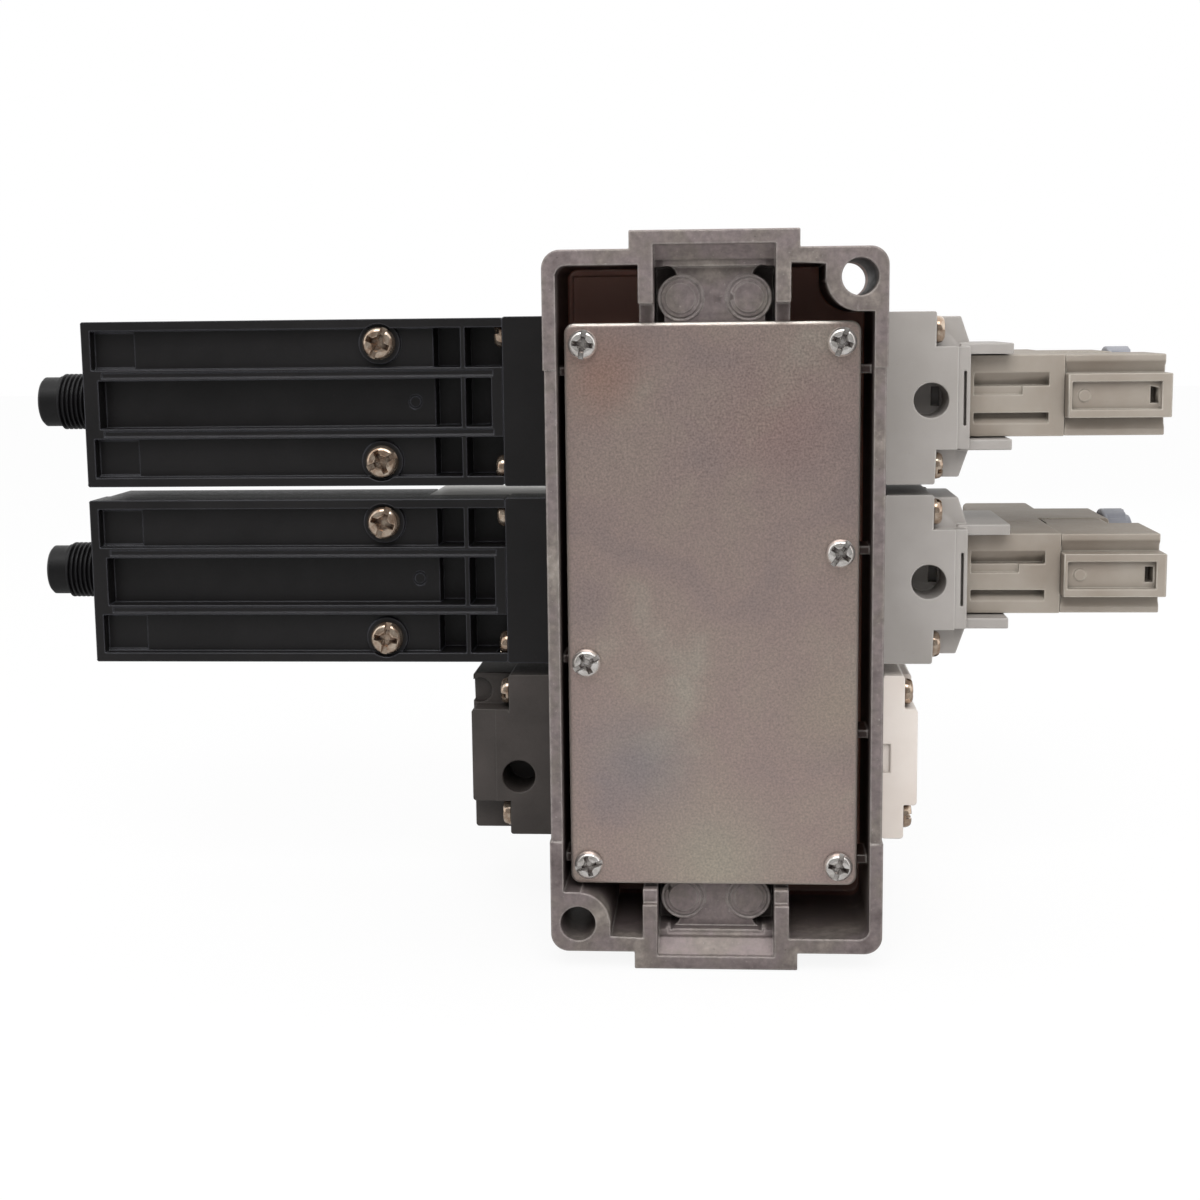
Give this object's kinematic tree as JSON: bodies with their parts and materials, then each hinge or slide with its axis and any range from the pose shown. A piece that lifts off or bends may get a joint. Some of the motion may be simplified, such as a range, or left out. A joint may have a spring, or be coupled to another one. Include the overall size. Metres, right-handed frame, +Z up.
{
  "type": "residual pressure relief valve",
  "caption": "Dual residual pressure relief valve with soft start: open-backed cast base, ribbed switch brackets, grey pilot adapters and cable plugs.",
  "frame": {"origin": "midway between the two panel holes, on the mounting face", "axes": "+X along the spools towards the pilots, +Y from the mounting face to the front, +Z up the panel"},
  "size_m": [0.2394, 0.114, 0.139],
  "materials": {
    "cast_aluminium": "as cast, mottled with age",
    "plated_steel": "zinc plated, dulled",
    "black_rubber": "matte",
    "screw_steel": "bright nickel plate",
    "body_aluminium": "satin, bead blasted",
    "ground_steel": "ground",
    "spring_steel": "drawn wire",
    "black_plastic": "fine moulded grain",
    "brown_plastic": "moulded",
    "ivory_plastic": "smooth moulded",
    "contact_brass": "turned",
    "grey_plastic": "fine moulded grain",
    "olive_plastic": "fine moulded grain",
    "gland_plastic": "moulded",
    "button_plastic": "smooth moulded"
  },
  "bodies": {
    "base": {"base": "cast_aluminium", "cover_plate": "plated_steel", "cover_gasket": "black_rubber", "valve_gaskets": "black_rubber", "cover_screws": "screw_steel", "valve_screws": "screw_steel", "bracket_screws": "screw_steel", "side_screws": "screw_steel", "switch_screws": "screw_steel", "plug_screws": "screw_steel", "body_a": "body_aluminium", "body_b": "body_aluminium", "body_s": "body_aluminium", "switch_adaptor_a": "body_aluminium", "switch_adaptor_b": "body_aluminium", "spring_a": "spring_steel", "spring_b": "spring_steel", "spring_s": "spring_steel", "end_cap_a": "black_plastic", "end_cap_b": "black_plastic", "bracket_a": "black_plastic", "bracket_b": "black_plastic", "soft_cap_black": "black_plastic", "connector_a": "black_plastic", "connector_b": "black_plastic", "switch_body_a": "brown_plastic", "switch_body_b": "brown_plastic", "switch_cover_a": "brown_plastic", "switch_cover_b": "brown_plastic", "soft_cap_white": "ivory_plastic", "connector_pins": "contact_brass", "needle_bush": "contact_brass", "pilot_adapter_a": "grey_plastic", "pilot_adapter_b": "grey_plastic", "pilot_body_a": "olive_plastic", "pilot_body_b": "olive_plastic", "pilot_coil_a": "olive_plastic", "pilot_coil_b": "olive_plastic", "cable_plug_a": "olive_plastic", "cable_plug_b": "olive_plastic", "gland_a": "gland_plastic", "gland_b": "gland_plastic"},
    "spool_a": {"spool_a": "ground_steel", "seals_a": "black_rubber", "plunger_a": "ivory_plastic"},
    "spool_b": {"spool_b": "ground_steel", "seals_b": "black_rubber", "plunger_b": "ivory_plastic"},
    "spool_s": {"spool_s": "ground_steel", "seals_s": "black_rubber"},
    "override_a": {"override_a": "button_plastic"},
    "override_b": {"override_b": "button_plastic"},
    "armature_a": {"armature_a": "ground_steel"},
    "armature_b": {"armature_b": "ground_steel"},
    "needle": {"needle": "ground_steel"},
    "flow_knob": {"flow_knob": "black_plastic"}
  },
  "joints": [
    {"name": "spool_slide_a", "type": "slide", "parent": "base", "child": "spool_a", "axis": [-1, 0, 0], "range_m": [0, 0.004], "stiffness_N_per_m": 2000, "springref_m": -0.008, "deforming": ["spring_a"]},
    {"name": "spool_slide_b", "type": "slide", "parent": "base", "child": "spool_b", "axis": [-1, 0, 0], "range_m": [0, 0.004], "stiffness_N_per_m": 2000, "springref_m": -0.008, "deforming": ["spring_b"]},
    {"name": "spool_slide_s", "type": "slide", "parent": "base", "child": "spool_s", "axis": [-1, 0, 0], "range_m": [0, 0.004], "stiffness_N_per_m": 2000, "springref_m": -0.008, "deforming": ["spring_s"]},
    {"name": "override_press_a", "type": "slide", "parent": "base", "child": "override_a", "axis": [0, -1, 0], "range_m": [0, 0.0015], "stiffness_N_per_m": 500, "springref_m": -0.002},
    {"name": "override_press_b", "type": "slide", "parent": "base", "child": "override_b", "axis": [0, -1, 0], "range_m": [0, 0.0015], "stiffness_N_per_m": 500, "springref_m": -0.002},
    {"name": "armature_lift_a", "type": "slide", "parent": "base", "child": "armature_a", "axis": [1, 0, 0], "range_m": [0, 0.0006], "stiffness_N_per_m": 800, "springref_m": -0.0015},
    {"name": "armature_lift_b", "type": "slide", "parent": "base", "child": "armature_b", "axis": [1, 0, 0], "range_m": [0, 0.0006], "stiffness_N_per_m": 800, "springref_m": -0.0015},
    {"name": "knob_turn", "type": "hinge", "parent": "base", "child": "flow_knob", "pos_m": [0, 0.078, -0.0364], "axis": [0, 1, 0], "range_deg": [0, 720]},
    {"name": "needle_travel", "type": "slide", "parent": "base", "child": "needle", "axis": [0, 1, 0], "range_m": [0, 0.001]}
  ],
  "couplings": [
    {"joint": "knob_turn", "follows": "needle_travel", "rad_per_m": 12566}
  ]
}
